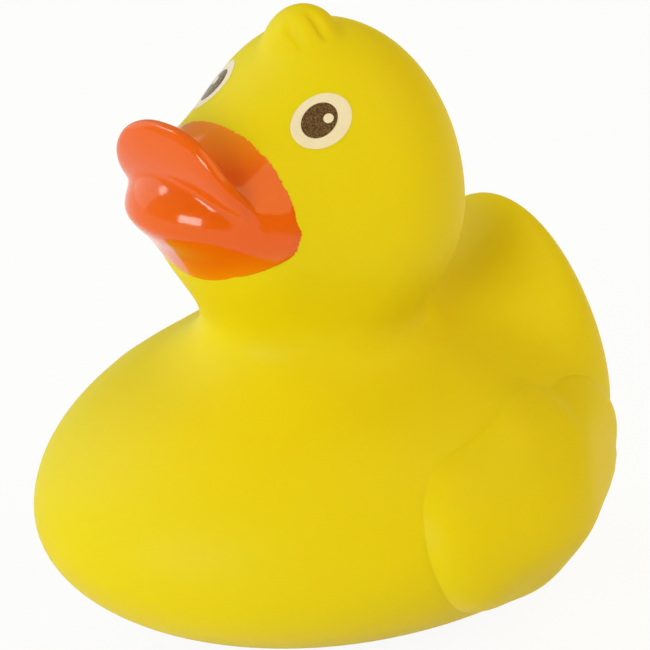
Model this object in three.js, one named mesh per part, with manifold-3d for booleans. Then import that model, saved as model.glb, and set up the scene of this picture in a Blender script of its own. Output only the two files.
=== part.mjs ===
// A squishy toy duck: one hollow soft-vinyl moulding that stands on a flat foot.
// Millimetres. +Z is up, +X is the duck's left and the bill faces -Y.
// The origin is on the floor, straight below the middle of the body.

import * as THREE from "three";
import { LoftGeometry } from "three/addons/geometries/LoftGeometry.js";
import { mergeVertices } from "three/addons/utils/BufferGeometryUtils.js";
import Module from "manifold-3d";

// Body: an egg lying along Y, with a long breast and a short rump
const BODY_HALF_WIDTH = 31.8;
const BODY_BREAST = 42.8;
const BODY_RUMP = 25.6;
const BODY_RISE = 21.2;
const BODY_DROP = 17.3;
const BODY_HEIGHT = 15.8;

// Tail: an upright paddle behind the rump, leaning towards the head
const TAIL_HALF_WIDTH = 13.9;
const TAIL_HALF_THICKNESS = 7.0;
const TAIL_RISE = 22.2;
const TAIL_DROP = 14.0;
const TAIL_BEHIND_RUMP = 2.2;
const TAIL_ABOVE_BODY = 6.4;
const TAIL_LEAN_DEG = 7.2;
const TAIL_BLEND = 17.2;

// Head and neck: a tall egg on a short oval neck, ahead of the body's middle
const HEAD_HALF_WIDTH = 17.4;
const HEAD_FRONT = 16.1;
const HEAD_REAR = 15.9;
const HEAD_RISE = 22.2;
const HEAD_DROP = 15.0;
const HEAD_ABOVE_BACK = 14.8;
const HEAD_FORWARD = 3.9;
const NECK_HALF_WIDTH = 9.4;
const NECK_HALF_LENGTH = 10.6;
const NECK_HALF_HEIGHT = 14.0;
const NECK_FORWARD = 8.2;
const NECK_END_BLEND = 5.0;
const SHOULDER_BLEND = 9.0;
const CHEEK_BLEND = 7.0;

// Bill: a swelling of the face that carries a curled upper lip and a plump lower lip
const MUZZLE_HALF_WIDTH = 9.8;
const MUZZLE_HALF_LENGTH = 5.6;
const MUZZLE_RISE = 8.7;
const MUZZLE_DROP = 8.0;
const MUZZLE_ABOVE_HEAD = 2.8;
const MUZZLE_PROUD = 0.75;
const MUZZLE_TILT_DEG = 20;
const MUZZLE_BLEND = 10.0;
const UPPER_LIP_HALF_WIDTH = 10.3;
const UPPER_LIP_HALF_LENGTH = 14.2;
const UPPER_LIP_HALF_THICKNESS = 1.7;
const UPPER_LIP_FULLNESS = 0.6;
const UPPER_LIP_SQUARENESS = 2.5;
const UPPER_LIP_PITCH_DEG = 27.5;
const UPPER_LIP_CURL_RADIUS = 12.7;
const UPPER_LIP_ABOVE_HEAD = 4.3;
const UPPER_LIP_PROUD = 3.4;
const LOWER_LIP_HALF_WIDTH = 9.7;
const LOWER_LIP_HALF_LENGTH = 8.8;
const LOWER_LIP_RISE = 6.9;
const LOWER_LIP_DROP = 3.5;
const LOWER_LIP_ABOVE_HEAD = 4.1;
const LOWER_LIP_PROUD = 4.0;

// Tuft: three locks that lie across the crown, one behind the other
const TUFT_LOCKS = [
  { forward: 5.9, sink: 1.9, halfWidth: 4.8, halfLength: 3.2, halfHeight: 5.1 },
  { forward: 3.6, sink: 2.2, halfWidth: 5.0, halfLength: 3.2, halfHeight: 5.7 },
  { forward: 1.3, sink: 2.7, halfWidth: 4.6, halfLength: 2.8, halfHeight: 5.2 },
];

// Wings: a broad shoulder and three feather tips, ovals on the flank that join into one raised outline
const WING_BACK = 3.0;
const WING_UP = 2.0;
const WING_OVALS = [
  { back: -3.2, up: 0.9, halfLength: 13.5, halfWidth: 10.2, tiltDeg: -30, notch: 4.0 },
  { back: 4.6, up: 6.4, halfLength: 11.2, halfWidth: 8.3, tiltDeg: 8, notch: 4.0 },
  { back: 16.5, up: 3.7, halfLength: 12.4, halfWidth: 8.2, tiltDeg: -6, notch: 1.2 },
  { back: 12.0, up: -3.6, halfLength: 15.2, halfWidth: 8.4, tiltDeg: 5, notch: 1.2 },
];
const WING_LIFT = 2.1;
const WING_LOW_LIFT = 0.9;
const WING_LOW_SPAN = [-6.8, 0.2];
const WING_CREST_LIFT = 1.1;
const WING_CREST_SPAN = [2.2, 11.2];
const WING_CREST_REAR = [4.0, 14.0];
const WING_EDGE_RADIUS = 3.8;
const WING_EDGE_SINK = 0.5;

// Raised pads: the share of their outline and the depth at which their heel ends inside the trunk
const HEEL_SHARE = 0.5;
const HEEL_DEPTH = 7.0;

// Wall, foot and vent of the hollow moulding
const WALL = 2.0;
const VENT_DIAMETER = 3.0;
const VENT_BEHIND_MIDDLE = 4.0;

// Fineness of the faceted surfaces
const SKIN_STATIONS = 80;
const SKIN_SIDES = 48;
const CAVITY_STATIONS = 26;
const CAVITY_SIDES = 20;
const PAD_RINGS = 8;
const WING_SIDES = 56;
const LIP_RINGS = 16;
const LIP_SIDES = 26;
const LOCK_RINGS = 8;
const LOCK_SIDES = 14;
const VENT_SIDES = 24;
const RAY_STRIDE = 0.5;
const FAN_STRIDE_DEG = 1;
const SPOKE_STRIDE = 0.05;
const HALVINGS = 30;
const PROFILE_SAMPLES = 400;
const END_CROWDING = 0.25;

const { clamp, degToRad, lerp, smoothstep } = THREE.MathUtils;
const FULL_TURN = 2 * Math.PI;
const QUARTER_TURN = Math.PI / 2;
const X_AXIS = new THREE.Vector3(1, 0, 0);
const bodyCentre = new THREE.Vector3(0, 0, BODY_HEIGHT);
const tailCentre = new THREE.Vector3(0, BODY_RUMP + TAIL_BEHIND_RUMP, BODY_HEIGHT + TAIL_ABOVE_BODY);
const neckCentre = new THREE.Vector3(0, -NECK_FORWARD, BODY_HEIGHT + BODY_RISE);
const headCentre = new THREE.Vector3(0, -HEAD_FORWARD, BODY_HEIGHT + BODY_RISE + HEAD_ABOVE_BACK);
const muzzleCentre = onFace(MUZZLE_ABOVE_HEAD, MUZZLE_PROUD);

// A point on the middle line of the face, at a height above the head's centre and proud of the bare head
function onFace(above, proud) {
  const ratio = above / (above < 0 ? HEAD_DROP : HEAD_RISE);
  const y = headCentre.y - HEAD_FRONT * Math.sqrt(1 - ratio * ratio);
  return new THREE.Vector3(0, y - proud, headCentre.z + above);
}

// A point on the middle line of the crown, ahead of the head's centre and sunk below the bare head
function onCrown(forward, sink) {
  const ratio = forward / (forward < 0 ? HEAD_REAR : HEAD_FRONT);
  const z = headCentre.z + HEAD_RISE * Math.sqrt(1 - ratio * ratio);
  return new THREE.Vector3(0, headCentre.y - forward, z - sink);
}

// Field of an egg, negative inside; a radius given as a pair is for the low side and the high side
function egg(point, centre, [radiusX, radiusY, radiusZ]) {
  const offset = point.clone().sub(centre);
  const pick = (value, radius) => (Array.isArray(radius) ? radius[value < 0 ? 0 : 1] : radius);
  const radii = new THREE.Vector3(radiusX, pick(offset.y, radiusY), pick(offset.z, radiusZ));
  const scaled = offset.divide(radii);
  const ratio = scaled.length();
  const slope = scaled.divide(radii).length();
  return slope > 0 ? (ratio * (ratio - 1)) / slope : -Math.min(radii.x, radii.y, radii.z);
}

// Union of two fields, with a fillet about as wide as the blend
function blend(a, b, width) {
  const overlap = Math.max(width - Math.abs(a - b), 0) / width;
  return Math.min(a, b) - (overlap * overlap * width) / 4;
}

// Field of the oval neck, a short upright post
function neck(point) {
  const ratio = Math.hypot(point.x / NECK_HALF_WIDTH, (point.y - neckCentre.y) / NECK_HALF_LENGTH);
  const around = (ratio - 1) * Math.min(NECK_HALF_WIDTH, NECK_HALF_LENGTH);
  return -blend(-around, NECK_HALF_HEIGHT - Math.abs(point.z - neckCentre.z), NECK_END_BLEND);
}

// Field of the leaning tail
function tail(point) {
  const upright = point.clone().sub(tailCentre).applyAxisAngle(X_AXIS, -degToRad(TAIL_LEAN_DEG));
  return egg(upright, new THREE.Vector3(), [TAIL_HALF_WIDTH, TAIL_HALF_THICKNESS, [TAIL_DROP, TAIL_RISE]]);
}

// Field of the trunk: body, tail, neck and head, without bill, tuft and wings
function trunk(point) {
  const body = egg(point, bodyCentre, [BODY_HALF_WIDTH, [BODY_BREAST, BODY_RUMP], [BODY_DROP, BODY_RISE]]);
  const head = egg(point, headCentre, [HEAD_HALF_WIDTH, [HEAD_FRONT, HEAD_REAR], [HEAD_DROP, HEAD_RISE]]);
  const tailed = blend(body, tail(point), TAIL_BLEND);
  const shouldered = blend(tailed, neck(point), SHOULDER_BLEND);
  return blend(shouldered, head, CHEEK_BLEND);
}

// Field of the trunk with the swelling of the face that carries the lips
function face(point) {
  const upright = point.clone().sub(muzzleCentre).applyAxisAngle(X_AXIS, -degToRad(MUZZLE_TILT_DEG));
  const muzzleRadii = [MUZZLE_HALF_WIDTH, MUZZLE_HALF_LENGTH, [MUZZLE_DROP, MUZZLE_RISE]];
  return blend(trunk(point), egg(upright, new THREE.Vector3(), muzzleRadii), MUZZLE_BLEND);
}

// Distance along a ray, from a start inside the field, to where the field rises through zero
function reachTo(field, start, direction) {
  const at = (distance) => field(start.clone().addScaledVector(direction, distance));
  let outside = RAY_STRIDE;
  while (at(outside) < 0) outside += RAY_STRIDE;
  let inside = outside - RAY_STRIDE;
  for (let halving = 0; halving < HALVINGS; halving += 1) {
    const middle = (inside + outside) / 2;
    if (at(middle) < 0) inside = middle;
    else outside = middle;
  }
  return inside;
}

// The trunk is cut by half-planes that fan out from an axis across the duck, above the saddle of its back
const headRear = headCentre.y + HEAD_REAR;
const tailFront = tailCentre.y - TAIL_HALF_THICKNESS;
const fanAxis = new THREE.Vector3(0, (headRear + tailFront) / 2, tailCentre.z + TAIL_RISE);
const fanReach = 2 * (BODY_BREAST + BODY_RUMP + TAIL_BEHIND_RUMP);

function fanDirection(angle) {
  return new THREE.Vector3(0, Math.cos(angle), -Math.sin(angle));
}

// The stretch of a fan ray that lies inside the field, or null where the ray misses it
function fanSpan(field, angle) {
  const outward = fanDirection(angle);
  const start = fanAxis.clone();
  while (field(start) >= 0) {
    if (start.distanceTo(fanAxis) > fanReach) return null;
    start.addScaledVector(outward, RAY_STRIDE);
  }
  const outer = start.clone().addScaledVector(outward, reachTo(field, start, outward));
  const inward = outward.clone().negate();
  const inner = start.clone().addScaledVector(inward, reachTo(field, start, inward));
  return { inner, outer };
}

// The last angle at which the fan still meets the field, turning one way from straight down
function fanLimit(field, turn) {
  const step = degToRad(FAN_STRIDE_DEG) * turn;
  let met = QUARTER_TURN;
  while (fanSpan(field, met + step)) met += step;
  let missed = met + step;
  for (let halving = 0; halving < HALVINGS; halving += 1) {
    const middle = (met + missed) / 2;
    if (fanSpan(field, middle)) met = middle;
    else missed = middle;
  }
  return met;
}

// Closed surface of a field, lofted through fan sections that stand evenly along its outer profile
function loftTrunk(field, stations, sides) {
  const first = fanLimit(field, -1);
  const last = fanLimit(field, 1);
  const profile = new THREE.SplineCurve();
  profile.arcLengthDivisions = 4 * PROFILE_SAMPLES;
  for (let sample = 0; sample <= PROFILE_SAMPLES; sample += 1) {
    const eased = (1 - Math.cos((Math.PI * sample) / PROFILE_SAMPLES)) / 2;
    const { outer } = fanSpan(field, lerp(first, last, eased));
    profile.points.push(new THREE.Vector2(outer.y, outer.z));
  }
  const sections = [];
  for (let station = 0; station <= stations; station += 1) {
    const even = station / stations;
    const place = profile.getPointAt(even - (END_CROWDING * Math.sin(FULL_TURN * even)) / FULL_TURN);
    const angle = Math.atan2(fanAxis.z - place.y, place.x - fanAxis.y);
    const turned = clamp(angle < first - QUARTER_TURN ? angle + FULL_TURN : angle, first, last);
    const { inner, outer } = fanSpan(field, turned);
    const centre = inner.lerp(outer, 0.5);
    const isPole = station === 0 || station === stations;
    const section = [];
    for (let side = 0; side < sides; side += 1) {
      const around = (FULL_TURN * side) / sides;
      const direction = fanDirection(turned).multiplyScalar(Math.cos(around));
      direction.addScaledVector(X_AXIS, Math.sin(around));
      const reach = isPole ? 0 : reachTo(field, centre, direction);
      section.push(centre.clone().addScaledVector(direction, reach));
    }
    sections.push(section);
  }
  return new LoftGeometry(sections);
}

// Height of a wing above the flank, from the side: one outline of joined ovals with a rounded edge
function wingHeight(y, z) {
  let outline = Infinity;
  for (const { back, up, halfLength, halfWidth, tiltDeg, notch } of WING_OVALS) {
    const offset = new THREE.Vector3(0, y - back, z - bodyCentre.z - up);
    offset.applyAxisAngle(X_AXIS, -degToRad(tiltDeg));
    outline = blend(outline, egg(offset, new THREE.Vector3(), [1, halfLength, halfWidth]), notch);
  }
  const inset = clamp(-outline / WING_EDGE_RADIUS, 0, 1);
  const up = z - bodyCentre.z;
  const crest = smoothstep(up, ...WING_CREST_SPAN) * (1 - smoothstep(y, ...WING_CREST_REAR));
  const raised = lerp(WING_LOW_LIFT, WING_LIFT, smoothstep(up, ...WING_LOW_SPAN));
  const lift = lerp(raised, WING_CREST_LIFT, crest);
  return (lift + WING_EDGE_SINK) * Math.sqrt(1 - (1 - inset) ** 2) - WING_EDGE_SINK;
}

// A pad raised from the trunk: a heel inside, then rings from the edge of its outline up to the middle.
// The spokes run from the middle to the edge, and the seat puts a place on the surface, sunk by a depth.
function pad(middle, spokes, seat) {
  const placeOn = (spoke, share) => middle.clone().addScaledVector(spoke, share);
  const ring = (share, depth) => spokes.map((spoke) => seat(placeOn(spoke, share), depth));
  const sections = [ring(0, HEEL_DEPTH), ring(HEEL_SHARE, HEEL_DEPTH)];
  for (let step = PAD_RINGS; step >= 0; step -= 1) {
    sections.push(ring(Math.sin((QUARTER_TURN * step) / PAD_RINGS), 0));
  }
  return new LoftGeometry(sections);
}

// One wing: a pad over the flank, its scalloped edge sunk below the skin
function wing(side) {
  const outward = new THREE.Vector3(side, 0, 0);
  const middle = new THREE.Vector2(WING_BACK, bodyCentre.z + WING_UP);
  const spokes = [];
  for (let step = 0; step < WING_SIDES; step += 1) {
    const around = (side * FULL_TURN * step) / WING_SIDES;
    const spoke = new THREE.Vector2(Math.cos(around), Math.sin(around));
    const heightAt = (reach) => wingHeight(middle.x + reach * spoke.x, middle.y + reach * spoke.y);
    let reach = fanReach;
    while (heightAt(reach) <= -WING_EDGE_SINK) reach -= SPOKE_STRIDE;
    spokes.push(spoke.multiplyScalar(reach));
  }
  return pad(middle, spokes, (place, depth) => {
    const start = new THREE.Vector3(0, place.x, place.y);
    const height = wingHeight(place.x, place.y) - depth;
    return start.addScaledVector(outward, reachTo((point) => trunk(point) - height, start, outward));
  });
}

// Upper lip: a thick oval plate, curled upwards about an axis across the bill
function upperLip() {
  const plate = new THREE.SphereGeometry(1, LIP_SIDES, LIP_RINGS);
  const root = onFace(UPPER_LIP_ABOVE_HEAD, UPPER_LIP_PROUD);
  const corners = plate.getAttribute("position");
  const place = new THREE.Vector3();
  for (let corner = 0; corner < corners.count; corner += 1) {
    place.fromBufferAttribute(corners, corner);
    const spread = Math.hypot(place.x, place.z) || 1;
    const aside = Math.abs(place.x / spread) ** UPPER_LIP_SQUARENESS;
    const ahead = Math.abs(place.z / spread) ** UPPER_LIP_SQUARENESS;
    const bulge = (aside + ahead || 1) ** (-1 / UPPER_LIP_SQUARENESS);
    const fullness = Math.sign(place.y) * Math.abs(place.y) ** UPPER_LIP_FULLNESS;
    const radius = UPPER_LIP_CURL_RADIUS - UPPER_LIP_HALF_THICKNESS * fullness;
    const curl = (UPPER_LIP_HALF_LENGTH * bulge * place.z) / UPPER_LIP_CURL_RADIUS;
    const forward = radius * Math.sin(curl);
    const rise = UPPER_LIP_CURL_RADIUS - radius * Math.cos(curl);
    corners.setXYZ(corner, UPPER_LIP_HALF_WIDTH * bulge * place.x, -forward, rise);
  }
  return plate.rotateX(-degToRad(UPPER_LIP_PITCH_DEG)).translate(root.x, root.y, root.z);
}

// Lower lip: a plump oval cushion with a nearly flat underside, in front of the upper lip's foot
function lowerLip() {
  const cushion = new THREE.SphereGeometry(1, LIP_SIDES, LIP_RINGS).rotateX(Math.PI / 2);
  const root = onFace(LOWER_LIP_ABOVE_HEAD, LOWER_LIP_PROUD);
  const corners = cushion.getAttribute("position");
  for (let corner = 0; corner < corners.count; corner += 1) {
    const height = corners.getZ(corner);
    corners.setZ(corner, height * (height < 0 ? LOWER_LIP_DROP : LOWER_LIP_RISE));
  }
  return cushion.scale(LOWER_LIP_HALF_WIDTH, LOWER_LIP_HALF_LENGTH, 1).translate(root.x, root.y, root.z);
}

// One lock of the tuft: an oval that lies across the crown
function tuftLock({ forward, sink, halfWidth, halfLength, halfHeight }) {
  const root = onCrown(forward, sink);
  return new THREE.SphereGeometry(1, LOCK_SIDES, LOCK_RINGS)
    .rotateZ(Math.PI / 2)
    .scale(halfWidth, halfLength, halfHeight)
    .translate(root.x, root.y, root.z);
}

const wasm = await Module();
wasm.setup();

// Solid inside a closed surface; triangles that a pole has drawn together into a line are left out
function solidOf(geometry) {
  const bare = new THREE.BufferGeometry().setAttribute("position", geometry.getAttribute("position"));
  const merged = mergeVertices(bare.setIndex(geometry.getIndex()));
  const corners = merged.getIndex().array;
  const triVerts = [];
  for (let first = 0; first < corners.length; first += 3) {
    const triangle = corners.slice(first, first + 3);
    if (new Set(triangle).size === 3) triVerts.push(...triangle);
  }
  const mesh = new wasm.Mesh({
    numProp: 3,
    vertProperties: merged.getAttribute("position").array,
    triVerts: Uint32Array.from(triVerts),
  });
  return new wasm.Manifold(mesh);
}

function geometryOf(solid) {
  const { vertProperties, triVerts } = solid.getMesh();
  const geometry = new THREE.BufferGeometry();
  geometry.setAttribute("position", new THREE.BufferAttribute(vertProperties, 3));
  geometry.setIndex(new THREE.BufferAttribute(triVerts, 1));
  geometry.computeVertexNormals();
  return geometry;
}

// A block that takes away all of the trunk below a height
function below(height) {
  const size = 2 * fanReach;
  return solidOf(new THREE.BoxGeometry(size, size, size).translate(0, 0, height - size / 2));
}

// The hollow keeps the wall inside the trunk and a floor of the same thickness over the flat foot
const cavity = loftTrunk((point) => trunk(point) + WALL, CAVITY_STATIONS, CAVITY_SIDES);
const hollow = solidOf(cavity).subtract(below(WALL));
const vent = solidOf(
  new THREE.CylinderGeometry(VENT_DIAMETER / 2, VENT_DIAMETER / 2, 4 * WALL, VENT_SIDES)
    .rotateX(Math.PI / 2)
    .translate(0, VENT_BEHIND_MIDDLE, 0),
);

let moulding = solidOf(loftTrunk(face, SKIN_STATIONS, SKIN_SIDES));
const raised = [upperLip(), lowerLip(), ...TUFT_LOCKS.map(tuftLock), wing(1), wing(-1)];
for (const geometry of raised) moulding = moulding.add(solidOf(geometry));
moulding = moulding.subtract(below(0)).subtract(hollow).subtract(vent);

const vinyl = new THREE.MeshStandardMaterial({ color: 0xe3cd14, roughness: 0.5, metalness: 0 });
const duck = new THREE.Mesh(geometryOf(moulding), vinyl);
duck.name = "duck_moulding";

const toy = new THREE.Group();
toy.add(duck);

export default toy;
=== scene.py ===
import math
from itertools import product

import bmesh
import bpy
import numpy as np
from mathutils import Matrix, Vector


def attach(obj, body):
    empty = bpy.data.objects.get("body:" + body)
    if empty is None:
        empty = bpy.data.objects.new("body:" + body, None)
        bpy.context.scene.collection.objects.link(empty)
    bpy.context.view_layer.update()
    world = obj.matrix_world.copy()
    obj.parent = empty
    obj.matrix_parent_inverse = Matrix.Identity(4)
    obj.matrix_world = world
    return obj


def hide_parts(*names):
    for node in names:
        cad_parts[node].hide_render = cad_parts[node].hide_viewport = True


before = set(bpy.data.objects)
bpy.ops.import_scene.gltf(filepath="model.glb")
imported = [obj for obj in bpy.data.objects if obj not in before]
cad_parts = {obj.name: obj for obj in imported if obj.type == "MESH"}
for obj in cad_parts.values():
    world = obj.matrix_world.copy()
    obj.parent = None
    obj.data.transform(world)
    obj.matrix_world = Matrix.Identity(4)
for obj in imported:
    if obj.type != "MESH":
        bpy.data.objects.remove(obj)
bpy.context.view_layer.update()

# Duck skin: one hollow soft-vinyl moulding, cast in a closed mould with body, tail, wings and head in one.
# Rough lumps are joined and remeshed into one lump, and its points are then settled on the drawn surface.
# Lengths are in millimetres, and MM takes them to metres.
MM = 0.001
# A lump is its centre, and how far it reaches to either side of it across, along and up.
BODY = ((0.0, 0.0, 15.8), ((31.8, 31.8), (42.8, 25.6), (17.3, 21.2)))
TAIL = ((0.0, 27.8, 22.2), ((13.9, 13.9), (7.0, 7.0), (14.0, 22.2)))
TAIL_LEAN = math.radians(7.2)
TAIL_BLEND = 17.2
NECK = ((0.0, -8.2, 37.2), ((9.4, 9.4), (10.6, 10.6), (14.0, 14.0)))
NECK_ENDS = 5.0
SHOULDER_BLEND = 9.0
HEAD = ((0.0, -3.9, 51.8), ((17.4, 17.4), (16.7, 15.9), (15.0, 22.2)))
CHEEK_BLEND = 7.0
MUZZLE = ((0.0, -20.6, 54.6), ((9.8, 9.8), (5.6, 5.6), (8.0, 8.7)))
MUZZLE_TILT = math.radians(20.0)
MUZZLE_BLEND = 12.0
TUFT = ((-0.9, -6.6, 70.5), ((5.0, 5.0), (5.2, 4.9), (5.95, 5.95)))
# A groove is its place along and across the crown, and its depth.
TUFT_GROOVES = ((-10.0, 1.2, 0.45), (-7.3, 2.2, 0.55))
GROOVE_LENGTH, GROOVE_WIDTH = 1.6, 0.6
TUFT_CRISP, TUFT_SOFT = 0.8, 1.6
TUFT_SOFTENS = (0.0, 5.0)
# The wing is a shoulder and feathers: place along and up, half length, half width and tilt in degrees.
SHOULDER = (-3.15, 16.75, 13.5, 10.2, -30.0)
FEATHERS = (
    (4.6, 22.2, 11.2, 8.3, 8.0),
    (16.5, 19.5, 12.4, 8.2, -6.0),
    (12.0, 12.2, 15.2, 8.4, 5.0),
)
WING_WAIST, WING_NOTCH = 4.0, 1.2
WING_ROUND = 3.8
WING_LIFT_FRONT, WING_LIFT_REAR = 2.2, 2.0
WING_LIFT_SPAN = (0.0, 20.0)
WING_LOW, WING_LOW_SPAN = 0.42, (9.0, 16.0)
WING_FRONT_SPAN = (-10.0, 0.0)
WING_TOP, WING_TOP_SPAN = 0.5, (18.0, 27.0)
WING_REAR_SPAN = (4.0, 14.0)
WING_SINK, WING_SKIRT = 0.5, 3.0
LAST_FEATHER_STEP, LAST_FEATHER_ROUND = 0.35, 3.0
LAST_FEATHER_SPAN = (14.0, 22.0)
CREASE_CRISP, CREASE_SOFT = 0.7, 2.6
CREASE_PLACE, CREASE_REACH = 4.0, 8.0
CREASE_SPAN = (22.0, 29.0)
FOOT_EDGE = 1.0
VENT_RADIUS, VENT_DEPTH = 1.5, 8.0
VENT_BACK = 4.0
COARSE_VOXEL, FINE_VOXEL = 1.2, 0.78
FINER_REACHES = (1.8, 1.0)
WING_INNER, WING_UPPER = 8.0, 34.0
TUFT_REACH = 8.0


def turned(offset, angle):
    ahead, rise = offset[:, 1], offset[:, 2]
    cos, sin = math.cos(angle), math.sin(angle)
    return np.stack([offset[:, 0], ahead * cos - rise * sin, ahead * sin + rise * cos], 1)


def egg(points, centre, radii):
    offset = points - np.array(centre)
    low, high = np.array(radii).T
    reach = np.where(offset < 0, low, high)
    scaled = offset / reach
    ratio = np.sqrt((scaled**2).sum(1))
    slope = np.sqrt(((scaled / reach) ** 2).sum(1))
    return ratio * (ratio - 1) / np.maximum(slope, 1e-9)


def blend(one, other, width):
    overlap = np.maximum(width - np.abs(one - other), 0) / width
    return np.minimum(one, other) - overlap**2 * width / 4


def ease(value, low, high):
    share = np.clip((value - low) / (high - low), 0, 1)
    return share * share * (3 - 2 * share)


def rounded(inset, depth):
    return np.sqrt(1 - (1 - np.clip(inset / depth, 0, 1)) ** 2)


def trunk(points):
    tail = egg(turned(points - np.array(TAIL[0]), -TAIL_LEAN), (0, 0, 0), TAIL[1])
    offset = points - np.array(NECK[0])
    (width, _), (length, _), (height, _) = NECK[1]
    around = (np.hypot(offset[:, 0] / width, offset[:, 1] / length) - 1) * min(width, length)
    neck = -blend(-around, height - np.abs(offset[:, 2]), NECK_ENDS)
    shouldered = blend(blend(egg(points, *BODY), tail, TAIL_BLEND), neck, SHOULDER_BLEND)
    return blend(shouldered, egg(points, *HEAD), CHEEK_BLEND)


def face(points):
    muzzle = egg(turned(points - np.array(MUZZLE[0]), -MUZZLE_TILT), (0, 0, 0), MUZZLE[1])
    return blend(trunk(points), muzzle, MUZZLE_BLEND)


def bare_skin(points):
    tuft = egg(points, *TUFT)
    for back, aside, depth in TUFT_GROOVES:
        across = (points[:, 1] - back) / GROOVE_WIDTH
        along = (points[:, 0] - aside) / GROOVE_LENGTH
        tuft = tuft + depth * np.exp(-(across**2) - along**4)
    soft = ease(points[:, 0] - points[:, 1] + TUFT[0][1], *TUFT_SOFTENS)
    return blend(face(points), tuft, TUFT_CRISP + (TUFT_SOFT - TUFT_CRISP) * soft)


def oval(points, back, up, length, width, tilt):
    flat = np.stack([0 * points[:, 0], points[:, 1] - back, points[:, 2] - up], 1)
    flat = turned(flat, -math.radians(tilt))
    return egg(flat, (0, 0, 0), ((1, 1), (length, length), (width, width)))


def wing_outline(points):
    outline = blend(oval(points, *SHOULDER), oval(points, *FEATHERS[0]), WING_WAIST)
    for feather in FEATHERS[1:]:
        outline = blend(outline, oval(points, *feather), WING_NOTCH)
    return outline


def wing_height(points):
    outline, back, up = wing_outline(points), points[:, 1], points[:, 2]
    lift = WING_LIFT_FRONT + (WING_LIFT_REAR - WING_LIFT_FRONT) * ease(back, *WING_LIFT_SPAN)
    low = WING_LOW + (1 - WING_LOW) * ease(up, *WING_LOW_SPAN)
    lift *= 1 - (1 - low) * ease(back, *WING_FRONT_SPAN)
    high = ease(up, *WING_TOP_SPAN) * (1 - ease(back, *WING_REAR_SPAN))
    lift *= 1 - (1 - WING_TOP) * high
    height = (lift + WING_SINK) * rounded(-outline, WING_ROUND) - WING_SINK
    last = rounded(-oval(points, *FEATHERS[2]), LAST_FEATHER_ROUND)
    height += LAST_FEATHER_STEP * ease(back, *LAST_FEATHER_SPAN) * last
    return height - WING_SKIRT * np.maximum(outline, 0)


def skin(points):
    bare = bare_skin(points)
    near = np.exp(-(((points[:, 1] - CREASE_PLACE) / CREASE_REACH) ** 2))
    soft = near * ease(points[:, 2], *CREASE_SPAN)
    crease = CREASE_CRISP + (CREASE_SOFT - CREASE_CRISP) * soft
    winged = blend(bare, bare - wing_height(points), crease)
    return -blend(-winged, points[:, 2], FOOT_EDGE)


def places(piece):
    flat = np.empty(3 * len(piece.data.vertices))
    piece.data.vertices.foreach_get("co", flat)
    return flat.reshape(-1, 3) / MM


def put(piece, points):
    piece.data.vertices.foreach_set("co", (points * MM).ravel())
    piece.data.update()


def slope_of(field, points):
    small = 0.01
    steps = small * np.eye(3)
    return np.stack([(field(points + step) - field(points - step)) / (2 * small) for step in steps], 1)


def settle(piece, field, rounds, stride=1.0):
    points = places(piece)
    for _ in range(rounds):
        slope = slope_of(field, points)
        steep = np.maximum((slope**2).sum(1), 0.05)
        points -= slope * np.clip(field(points) / steep, -stride, stride)[:, None]
    put(piece, points)


def alone(piece):
    bpy.ops.object.select_all(action="DESELECT")
    bpy.context.view_layer.objects.active = piece
    piece.select_set(True)


def work(piece, kind, **settings):
    alone(piece)
    tool = piece.modifiers.new(kind.lower(), kind)
    for name, value in settings.items():
        setattr(tool, name, value)
    bpy.ops.object.modifier_apply(modifier=tool.name)


def pick(piece, wanted):
    alone(piece)
    bpy.ops.object.mode_set(mode="EDIT")
    bpy.ops.mesh.select_mode(type="VERT")
    bpy.ops.mesh.select_all(action="DESELECT")
    drawing = bmesh.from_edit_mesh(piece.data)
    drawing.verts.ensure_lookup_table()
    for index in np.flatnonzero(wanted):
        drawing.verts[index].select_set(True)
    drawing.select_flush(True)
    bmesh.update_edit_mesh(piece.data)


def lump(centre, radii):
    middle = Vector(centre) * MM
    bpy.ops.object.select_all(action="DESELECT")
    bpy.ops.mesh.primitive_uv_sphere_add(segments=48, ring_count=24, radius=MM, location=middle)
    ball = bpy.context.object
    bpy.ops.object.transform_apply()
    for axis, pair in enumerate(radii):
        for side, radius in zip((-1, 1), pair):
            pick(ball, side * (places(ball)[:, axis] - centre[axis]) > 1e-4)
            stretch = [radius if along == axis else 1.0 for along in range(3)]
            bpy.ops.transform.resize(value=stretch, center_override=middle)
            bpy.ops.object.mode_set(mode="OBJECT")
    return ball


def joined(name, lumps):
    bpy.ops.object.select_all(action="DESELECT")
    for piece in lumps:
        piece.select_set(True)
    bpy.context.view_layer.objects.active = lumps[0]
    bpy.ops.object.join()
    lumps[0].name = lumps[0].data.name = name
    return lumps[0]


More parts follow.
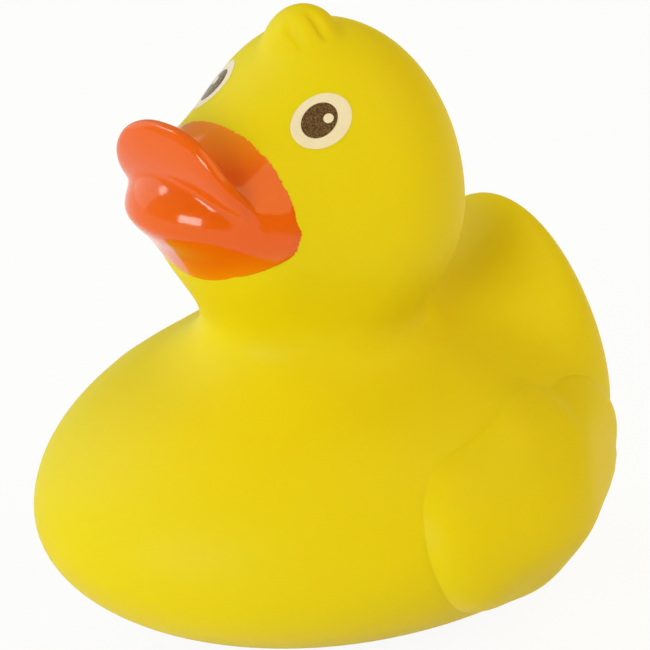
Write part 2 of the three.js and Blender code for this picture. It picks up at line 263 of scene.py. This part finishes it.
duck_skin = joined("duck_skin", [lump(*form) for form in (BODY, TAIL, NECK, HEAD, MUZZLE, TUFT)])
work(duck_skin, "REMESH", mode="VOXEL", voxel_size=COARSE_VOXEL * MM)
settle(duck_skin, face, 8)
work(duck_skin, "SMOOTH", factor=0.5, iterations=3)
settle(duck_skin, face, 4)
work(duck_skin, "REMESH", mode="VOXEL", voxel_size=FINE_VOXEL * MM)
for _ in range(3):
    settle(duck_skin, skin, 3)
    work(duck_skin, "SMOOTH", factor=0.5, iterations=2)
settle(duck_skin, skin, 4)
for reach in FINER_REACHES:
    points = places(duck_skin)
    flank = (np.abs(points[:, 0]) > WING_INNER) & (points[:, 2] < WING_UPPER)
    edge = (np.abs(wing_outline(points)) < reach) & flank
    tuft = np.linalg.norm(points - np.array(TUFT[0]), axis=1) < TUFT_REACH
    pick(duck_skin, edge | tuft)
    bpy.ops.mesh.subdivide(number_cuts=1)
    bpy.ops.object.mode_set(mode="OBJECT")
    settle(duck_skin, skin, 3, 0.3)
    work(duck_skin, "SMOOTH", factor=0.4, iterations=1)
    settle(duck_skin, skin, 4, 0.3)

bpy.ops.object.select_all(action="DESELECT")
bpy.ops.mesh.primitive_cylinder_add(
    vertices=48, radius=VENT_RADIUS * MM, depth=VENT_DEPTH * MM, location=(0, VENT_BACK * MM, 0)
)
drill = bpy.context.object
work(duck_skin, "BOOLEAN", operation="DIFFERENCE", object=drill, solver="MANIFOLD")
bpy.data.objects.remove(drill)
alone(duck_skin)
bpy.ops.object.shade_smooth_by_angle(angle=math.radians(40))


class Wire:
    """A socket in a material's nodes; sums written on wires add the Math nodes that work them out."""

    def __init__(self, tree, socket=None):
        self.tree, self.socket = tree, socket

    def node(self, kind, settings=None, inputs=None, output=0):
        made = self.tree.nodes.new(kind)
        for name, value in (settings or {}).items():
            setattr(made, name, value)
        for name, value in (inputs or {}).items():
            if isinstance(value, Wire):
                self.tree.links.new(value.socket, made.inputs[name])
            else:
                made.inputs[name].default_value = value
        return Wire(self.tree, made.outputs[output] if made.outputs else None)

    def math(self, operation, one, other=0.0):
        return self.node("ShaderNodeMath", {"operation": operation}, {0: one, 1: other})

    def __add__(self, other):
        return self.math("ADD", self, other)

    def __radd__(self, other):
        return self.math("ADD", other, self)

    def __mul__(self, other):
        return self.math("MULTIPLY", self, other)

    def __rmul__(self, other):
        return self.math("MULTIPLY", other, self)

    def __gt__(self, other):
        return self.math("GREATER_THAN", self, other)

    def __lt__(self, other):
        return self.math("LESS_THAN", self, other)

    def noise(self, scale, detail=2.0, roughness=0.5):
        sizes = {"Vector": self, "Scale": scale, "Detail": detail, "Roughness": roughness}
        return self.node("ShaderNodeTexNoise", {}, sizes)

    def spread(self, low, high):
        return self.node("ShaderNodeMapRange", {}, {"Value": self, "From Min": low, "From Max": high})

    def between(self, one, other):
        return self.node("ShaderNodeMix", {"data_type": "RGBA"}, {0: self, 6: one, 7: other}, 2)


def new_finish(name):
    finish = bpy.data.materials.new(name)
    finish.use_nodes = True
    where = Wire(finish.node_tree).node("ShaderNodeTexCoord", output=3)
    return finish, where, finish.node_tree.nodes["Principled BSDF"]


def feed(shader, **inputs):
    for name, value in inputs.items():
        socket = shader.inputs[name.replace("_", " ")]
        if isinstance(value, Wire):
            value.tree.links.new(value.socket, socket)
        else:
            socket.default_value = value


VINYL_DEEP, VINYL_LIGHT = (0.765, 0.585, 0.0, 1), (0.785, 0.61, 0.0, 1)
VINYL_DUST = (0.85, 0.76, 0.30, 1)

yellow_vinyl, where, shader = new_finish("yellow_vinyl")
cloud = where.noise(55.0, 3.0)
grain = where.noise(2600.0)
speck = where.node("ShaderNodeTexVoronoi", {}, {"Vector": where, "Scale": 330.0})
dusty = (speck < 0.055) * (where.noise(90.0) > 0.68)
colour = cloud.between(VINYL_DEEP, VINYL_LIGHT)
feed(shader, Base_Color=(dusty * 0.5).between(colour, VINYL_DUST))
feed(shader, Roughness=0.50 + 0.10 * cloud, Specular_IOR_Level=0.2)
feed(shader, Subsurface_Weight=0.3, Subsurface_Radius=(1.0, 0.45, 0.1), Subsurface_Scale=2.5 * MM)
bumps = {"Strength": 0.06, "Distance": 0.05 * MM, "Height": grain}
feed(shader, Normal=grain.node("ShaderNodeBump", {}, bumps))
duck_skin.data.materials.clear()
duck_skin.data.materials.append(yellow_vinyl)
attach(duck_skin, "root")
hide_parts("duck_moulding")

# Bill paint: glossy orange enamel, sprayed through a mask over the moulding's bill, with a frayed edge.
# It follows the swelling of the face, the curled upper lip and the plump lower lip.
# The painted form is settled like the skin, a little proud of it, and cut off at the mask's outline.
FILM = 0.05
UPPER_LIP_ROOT = (0.0, -23.1, 56.1)
UPPER_LIP_WIDTH, UPPER_LIP_LENGTH, UPPER_LIP_THICKNESS = 10.3, 14.2, 1.7
UPPER_LIP_FULLNESS, UPPER_LIP_SQUARE = 0.6, 2.5
UPPER_LIP_PITCH = math.radians(27.5)
UPPER_LIP_CURL = 12.7
LOWER_LIP = ((0.0, -23.7, 55.9), ((9.7, 9.7), (8.8, 8.8), (3.5, 6.9)))
LIP_BACK, LIP_BACK_SOFT = 22.0, 2.0
CHIN_FILLET, CHEEK_FILLET, LIP_FILLET = 5.8, 3.0, 0.8
CHIN_SPAN = (52.0, 60.0)
PAINT_BACK, PAINT_BACK_SOFT = 8.5, 0.5
PAINT_COARSE_VOXEL, PAINT_FINE_VOXEL = 0.5, 0.28
# The mask's outline is one half, seen from the front; its hole widens towards the lips.
MASK = (
    (0.0, 65.4), (2.12, 65.22), (4.22, 64.74), (6.05, 63.89), (8.16, 62.53), (10.13, 60.41),
    (11.46, 58.37), (12.37, 55.74), (12.54, 54.92), (12.47, 53.8), (12.0, 52.17), (10.43, 50.88),
    (8.07, 49.68), (5.61, 49.0), (3.2, 48.65), (0.0, 48.44),
)
MASK_STEPS, MASK_SEED, MASK_RAGGED = 10, 7, 0.022
MASK_BEHIND, MASK_MIDDLE = 1.5, 56.0
MASK_FLARE = ((-25.2, 1.0), (-26.8, 1.6), (-50.0, 2.4))


def upper_lip(points):
    offset = turned(points - np.array(UPPER_LIP_ROOT), UPPER_LIP_PITCH)
    forward, rise = -offset[:, 1], offset[:, 2]
    radius = np.hypot(forward, UPPER_LIP_CURL - rise)
    curl = np.arctan2(forward, UPPER_LIP_CURL - rise)
    across = np.abs(offset[:, 0]) / UPPER_LIP_WIDTH
    along = np.abs(curl) * UPPER_LIP_CURL / UPPER_LIP_LENGTH
    thick = np.abs(UPPER_LIP_CURL - radius) / UPPER_LIP_THICKNESS
    power, square = 2 / UPPER_LIP_FULLNESS, UPPER_LIP_SQUARE
    stretch = UPPER_LIP_CURL / UPPER_LIP_LENGTH / np.maximum(radius, 1)
    level = across**square + along**square + thick**power - 1
    slope = np.sqrt(
        (square * across ** (square - 1) / UPPER_LIP_WIDTH) ** 2
        + (square * along ** (square - 1) * stretch) ** 2
        + (power * thick ** (power - 1) / UPPER_LIP_THICKNESS) ** 2
    )
    return level / np.maximum(slope, 0.05)


def clipped(lip, points):
    return -blend(-lip, -LIP_BACK - points[:, 1], LIP_BACK_SOFT)


def painted(points):
    fillet = CHIN_FILLET + (CHEEK_FILLET - CHIN_FILLET) * ease(points[:, 2], *CHIN_SPAN)
    chin = blend(face(points), clipped(egg(points, *LOWER_LIP), points), fillet)
    bill = blend(chin, clipped(upper_lip(points), points), LIP_FILLET) - FILM
    return -blend(-bill, -PAINT_BACK - points[:, 1], PAINT_BACK_SOFT)


plate = lump((0, 0, 0), ((1, 1), (1, 1), (1, 1)))
ball = places(plate)
swell = np.sign(ball[:, 2]) * np.abs(ball[:, 2]) ** UPPER_LIP_FULLNESS
radius = UPPER_LIP_CURL - UPPER_LIP_THICKNESS * swell
curl = UPPER_LIP_LENGTH * ball[:, 1] / UPPER_LIP_CURL
bent = np.stack([
    UPPER_LIP_WIDTH * ball[:, 0], radius * np.sin(curl), UPPER_LIP_CURL - radius * np.cos(curl)
], 1)
put(plate, turned(bent, -UPPER_LIP_PITCH) + np.array(UPPER_LIP_ROOT))
bill_paint = joined("bill_paint", [lump(*HEAD), lump(*MUZZLE), lump(*LOWER_LIP), plate])
pick(bill_paint, np.ones(len(bill_paint.data.vertices), bool))
bpy.ops.mesh.bisect(
    plane_co=(0, PAINT_BACK_SOFT * MM - PAINT_BACK * MM, 0), plane_no=(0, 1, 0),
    use_fill=True, clear_outer=True,
)
bpy.ops.object.mode_set(mode="OBJECT")
work(bill_paint, "REMESH", mode="VOXEL", voxel_size=PAINT_COARSE_VOXEL * MM)
settle(bill_paint, painted, 8, 0.8)
work(bill_paint, "REMESH", mode="VOXEL", voxel_size=PAINT_FINE_VOXEL * MM)
for _ in range(3):
    settle(bill_paint, painted, 3, 0.5)
    work(bill_paint, "SMOOTH", factor=0.5, iterations=2)
settle(bill_paint, painted, 5, 0.3)

half = np.array(MASK)
knots = np.vstack([half, (half * (-1, 1))[-2:0:-1]])
share = np.linspace(0, 1, MASK_STEPS, endpoint=False)[:, None]
outline = np.vstack([
    b + (c - a) / 2 * share + (a - 2.5 * b + 2 * c - d / 2) * share**2
    + (1.5 * (b - c) + (d - a) / 2) * share**3
    for a, b, c, d in zip(*(np.roll(knots, shift, 0) for shift in (1, 0, -1, -2)))
])
outline += np.random.RandomState(MASK_SEED).normal(0, MASK_RAGGED, outline.shape)
bpy.ops.object.select_all(action="DESELECT")
bpy.ops.mesh.primitive_circle_add(vertices=len(outline), radius=MM, fill_type="NGON")
mask = bpy.context.object
start = np.full(len(outline), MASK_BEHIND - PAINT_BACK)
put(mask, np.stack([outline[:, 0], start, outline[:, 1]], 1))
for ahead, wide in MASK_FLARE:
    front = places(mask)[:, 1].min()
    pick(mask, places(mask)[:, 1] < front + 1e-3)
    bpy.ops.mesh.select_mode(type="FACE")
    bpy.ops.mesh.extrude_region_move(TRANSFORM_OT_translate={"value": (0, (ahead - front) * MM, 0)})
    bpy.ops.transform.resize(value=(wide, 1, wide), center_override=(0, ahead * MM, MASK_MIDDLE * MM))
    bpy.ops.object.mode_set(mode="OBJECT")
pick(mask, np.ones(len(mask.data.vertices), bool))
bpy.ops.mesh.normals_make_consistent(inside=False)
bpy.ops.object.mode_set(mode="OBJECT")
work(bill_paint, "BOOLEAN", operation="INTERSECT", object=mask, solver="MANIFOLD")
bpy.data.objects.remove(mask)
alone(bill_paint)
bpy.ops.object.shade_smooth_by_angle(angle=math.radians(50))

# Above the upper lip and on the chin the orange is mixed towards amber: a painted reflection of the yellow
# head and breast, together with a thinner coat there.
ORANGE_DEEP, ORANGE_LIGHT = (0.765, 0.1, 0.0, 1), (0.795, 0.114, 0.0, 1)
ORANGE_THIN_AND_REFLECTED = (0.88, 0.29, 0.0, 1)
THIN_AND_REFLECTED_ABOVE, THIN_AND_REFLECTED_BELOW = (62.0 * MM, 66.5 * MM), (53.5 * MM, 46.5 * MM)
THIN_AND_REFLECTED_BEHIND = (-27.5 * MM, -25.0 * MM)

orange_paint, where, shader = new_finish("orange_paint")
cloud = where.noise(120.0, 3.0)
peel = where.noise(420.0) + 0.35 * where.noise(1500.0)
ahead = where.node("ShaderNodeSeparateXYZ", {}, {0: where}, 1)
height = where.node("ShaderNodeSeparateXYZ", {}, {0: where}, 2)
# Amber mix above the upper lip and on the chin: painted reflection of the yellow head and breast, partly a
# thinner coat.
thin_and_reflected = height.spread(*THIN_AND_REFLECTED_ABOVE) + height.spread(*THIN_AND_REFLECTED_BELOW)
thin_and_reflected = thin_and_reflected * ahead.spread(*THIN_AND_REFLECTED_BEHIND)
colour = cloud.between(ORANGE_DEEP, ORANGE_LIGHT)
feed(shader, Base_Color=thin_and_reflected.between(colour, ORANGE_THIN_AND_REFLECTED))
feed(shader, Roughness=0.09 + 0.06 * cloud, Specular_IOR_Level=0.36)
bumps = {"Strength": 0.09, "Distance": 0.1 * MM, "Height": peel}
feed(shader, Normal=peel.node("ShaderNodeBump", {}, bumps))
bill_paint.data.materials.clear()
bill_paint.data.materials.append(orange_paint)
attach(bill_paint, "root")

# Eyes: pad-printed ink in three coats, a cream oval, a speckled brown pupil and a cream dot.
# Each coat is a thin disc, pressed on the skin and thickened.
# The right eye's print sits a touch nearer the middle of the face than the left eye's.
EYE_CENTRE = (8.8, -13.2, 66.0)
EYE_RIGHT = (0.777, 0.630, 0.0)
EYE_UP = (-0.333, 0.411, 0.848)
# A coat is its place to the right and up, half length, half width, turn in degrees and height off the skin.
COATS = (
    ("eye_white", 0.0, 0.0, 3.87, 3.1, 45.0, 0.04),
    ("eye_pupil", -0.2, 0.04, 2.40, 1.90, 54.0, 0.07),
    ("eye_glint", 0.84, 0.36, 0.62, 0.56, 45.0, 0.10),
)
INK_THICKNESS = 0.12
COAT_RINGS, RING_INSET = 7, 0.12
EYE_STAND_OFF = 3.0
RIGHT_EYE_SHIFT = (1.2, -0.4, 0.0)
CREAM_DEEP, CREAM_LIGHT = (0.80, 0.66, 0.50, 1), (0.88, 0.75, 0.60, 1)
BROWN_DEEP, BROWN_LIGHT = (0.062, 0.027, 0.010, 1), (0.24, 0.120, 0.036, 1)

eye_cream, where, shader = new_finish("eye_cream")
cloud = where.noise(700.0, 3.0)
feed(shader, Base_Color=cloud.between(CREAM_DEEP, CREAM_LIGHT))
feed(shader, Roughness=0.40 + 0.1 * cloud)
eye_brown, where, shader = new_finish("eye_brown")
dots = where.noise(5200.0, 2.0, 0.6).spread(0.42, 0.74)
feed(shader, Base_Color=dots.between(BROWN_DEEP, BROWN_LIGHT))
feed(shader, Roughness=0.25 + 0.1 * dots)

for (name, right, up, length, width, turn, proud), side in product(COATS, (1, -1)):
    bpy.ops.object.select_all(action="DESELECT")
    bpy.ops.mesh.primitive_circle_add(vertices=96, radius=MM, fill_type="NGON")
    coat = bpy.context.object
    bpy.ops.object.mode_set(mode="EDIT")
    bpy.ops.mesh.select_all(action="SELECT")
    for _ in range(COAT_RINGS):
        bpy.ops.mesh.inset(thickness=RING_INSET * MM)
    bpy.ops.mesh.poke()
    bpy.ops.mesh.select_all(action="SELECT")
    bpy.ops.transform.resize(value=(length, width, 1), center_override=(0, 0, 0))
    bpy.ops.object.mode_set(mode="OBJECT")
    coat.name = coat.data.name = name + ("_left" if side > 0 else "_right")
    mirror = Vector((side, 1, 1))
    sideways, upward = (Vector(axis).normalized() * mirror for axis in (EYE_RIGHT, EYE_UP))
    outward = side * sideways.cross(upward)
    centre = Vector(EYE_CENTRE) * mirror + right * sideways + up * upward + EYE_STAND_OFF * outward
    if side < 0:
        centre += Vector(RIGHT_EYE_SHIFT)
    tilt = math.radians(turn)
    long_axis = math.cos(tilt) * sideways + math.sin(tilt) * upward
    frame_axes = Matrix((long_axis, outward.cross(long_axis), outward)).transposed().to_4x4()
    coat.matrix_world = Matrix.Translation(centre * MM) @ frame_axes
    bpy.context.view_layer.update()
    work(
        coat, "SHRINKWRAP", target=duck_skin, wrap_method="PROJECT", use_project_z=True,
        use_negative_direction=True, use_positive_direction=False, offset=proud * MM,
        wrap_mode="ABOVE_SURFACE",
    )
    alone(coat)
    bpy.ops.object.transform_apply()
    work(coat, "SOLIDIFY", thickness=INK_THICKNESS * MM, offset=-1.0)
    bpy.ops.object.shade_smooth_by_angle(angle=math.radians(40))
    coat.data.materials.clear()
    coat.data.materials.append(eye_brown if name == "eye_pupil" else eye_cream)
    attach(coat, "root")

# Floor: a wide sheet of white card under the duck, which keeps a soft shadow.
# The camera and mirror rays see most of it as evenly bright, as paper under studio light is.
FLOOR_SIZE = 12.0
CARD_WHITE = (0.9, 0.9, 0.9, 1)
CARD_GLOW = 0.92
bpy.ops.object.select_all(action="DESELECT")
bpy.ops.mesh.primitive_plane_add(size=FLOOR_SIZE, location=(0, 0, 0))
floor = bpy.context.object
floor.name = floor.data.name = "floor"


def seen(tree):
    path = Wire(tree).node("ShaderNodeLightPath")
    rays = path.socket.node.outputs
    kinds = ("Is Camera Ray", "Is Glossy Ray", "Is Transmission Ray")
    camera, glossy, through = (Wire(tree, rays[kind]) for kind in kinds)
    return path.math("MINIMUM", camera + glossy + through, 1.0)


white_card, where, shader = new_finish("white_card")
feed(shader, Base_Color=CARD_WHITE, Roughness=0.9, Specular_IOR_Level=0.0)
glow = where.node("ShaderNodeEmission", {}, {"Color": (1, 1, 1, 1), "Strength": 1.0})
card = Wire(where.tree, shader.outputs[0])
bright = CARD_GLOW * seen(where.tree)
mixed = where.node("ShaderNodeMixShader", {}, {0: bright, 1: card, 2: glow})
where.tree.links.new(mixed.socket, where.tree.nodes["Material Output"].inputs["Surface"])
floor.data.materials.append(white_card)

# Light: a low soft box in front of the duck, a small high one on its right, and a large panel on each side.
# The room's walls light it dimly, warmest at the duck's left and rear and darkest in front of it.
# Each lamp has a turn to the left and a rise in degrees, a distance, width and height in metres, and watts.
AIM_HEIGHT = 35.0
LAMPS = (
    ("high_box", -52.0, 42.0, 1.0, 0.22, 0.22, 1.2, (0.88, 1.0, 1.0)),
    ("front_box", 13.0, 12.0, 1.2, 0.60, 0.34, 7.6, (0.92, 1.0, 0.98)),
    ("right_panel", -75.0, 25.0, 0.9, 0.80, 0.80, 2.3, (0.88, 1.0, 1.0)),
    ("left_panel", 120.0, 45.0, 0.9, 0.80, 0.80, 3.7, (1.0, 0.88, 0.45)),
)
LEFT_REAR, AHEAD = (0.7, 0.7, 0.0), (0.5, -0.87, 0.0)
WALL_COOL, WALL_WARM = (0.42, 0.45, 0.42, 1), (0.46, 0.40, 0.08, 1)
WALL_DARK = (0.17, 0.18, 0.15, 1)
DARK_SPAN = (0.3, 0.9)

for name, azimuth, elevation, distance, wide, high, watts, tint in LAMPS:
    lamp = bpy.data.lights.new(name, "AREA")
    lamp.shape, lamp.size, lamp.size_y = "RECTANGLE", wide, high
    lamp.energy, lamp.color = watts, tint
    panel = bpy.data.objects.new(name, lamp)
    bpy.context.scene.collection.objects.link(panel)
    turn, lift = math.radians(azimuth), math.radians(elevation)
    away = Vector((math.sin(turn) * math.cos(lift), -math.cos(turn) * math.cos(lift), math.sin(lift)))
    panel.location = Vector((0, 0, AIM_HEIGHT * MM)) + distance * away
    panel.rotation_mode = "QUATERNION"
    panel.rotation_quaternion = (-away).to_track_quat("-Z", "Y")
room = bpy.data.worlds.new("studio_room")
room.use_nodes = True
backdrop = room.node_tree.nodes["Background"]
around = Wire(room.node_tree).node("ShaderNodeTexCoord")
leftward, forward = (
    around.node("ShaderNodeVectorMath", {"operation": "DOT_PRODUCT"}, {0: around, 1: way}, 1)
    for way in (LEFT_REAR, AHEAD)
)
walls = leftward.spread(-1.0, 1.0).between(WALL_COOL, WALL_WARM)
walls = forward.spread(*DARK_SPAN).between(walls, WALL_DARK)
room.node_tree.links.new(walls.socket, backdrop.inputs["Color"])
bpy.context.scene.world = room

# Camera: a long lens to the duck's left of its bill, looking down on it by a quarter of a right angle.
# Its distance and its scale in the picture set the focal length.
AZIMUTH, ELEVATION = math.radians(45.4), math.radians(21.8)
DISTANCE = 770.0
PIXELS_PER_MM, PICTURE = 8.3, 650
SENSOR = 36.0
TARGET = Vector((0.0, -1.7, 35.0))
ASIDE, BELOW = 1.59, 0.22
back = Vector((
    math.sin(AZIMUTH) * math.cos(ELEVATION),
    -math.cos(AZIMUTH) * math.cos(ELEVATION),
    math.sin(ELEVATION),
))
sideways = Vector((math.cos(AZIMUTH), math.sin(AZIMUTH), 0))
upward = back.cross(sideways)
lens = bpy.data.cameras.new("camera")
lens.sensor_width = SENSOR
lens.lens = SENSOR * PIXELS_PER_MM * DISTANCE / PICTURE
lens.clip_start, lens.clip_end = 0.05, 20.0
camera = bpy.data.objects.new("camera", lens)
bpy.context.scene.collection.objects.link(camera)
camera.location = (TARGET - ASIDE * sideways - BELOW * upward + DISTANCE * back) * MM
camera.rotation_mode = "QUATERNION"
camera.rotation_quaternion = (-back).to_track_quat("-Z", "Y")
bpy.context.scene.camera = camera
bpy.context.scene.view_settings.view_transform = "Standard"
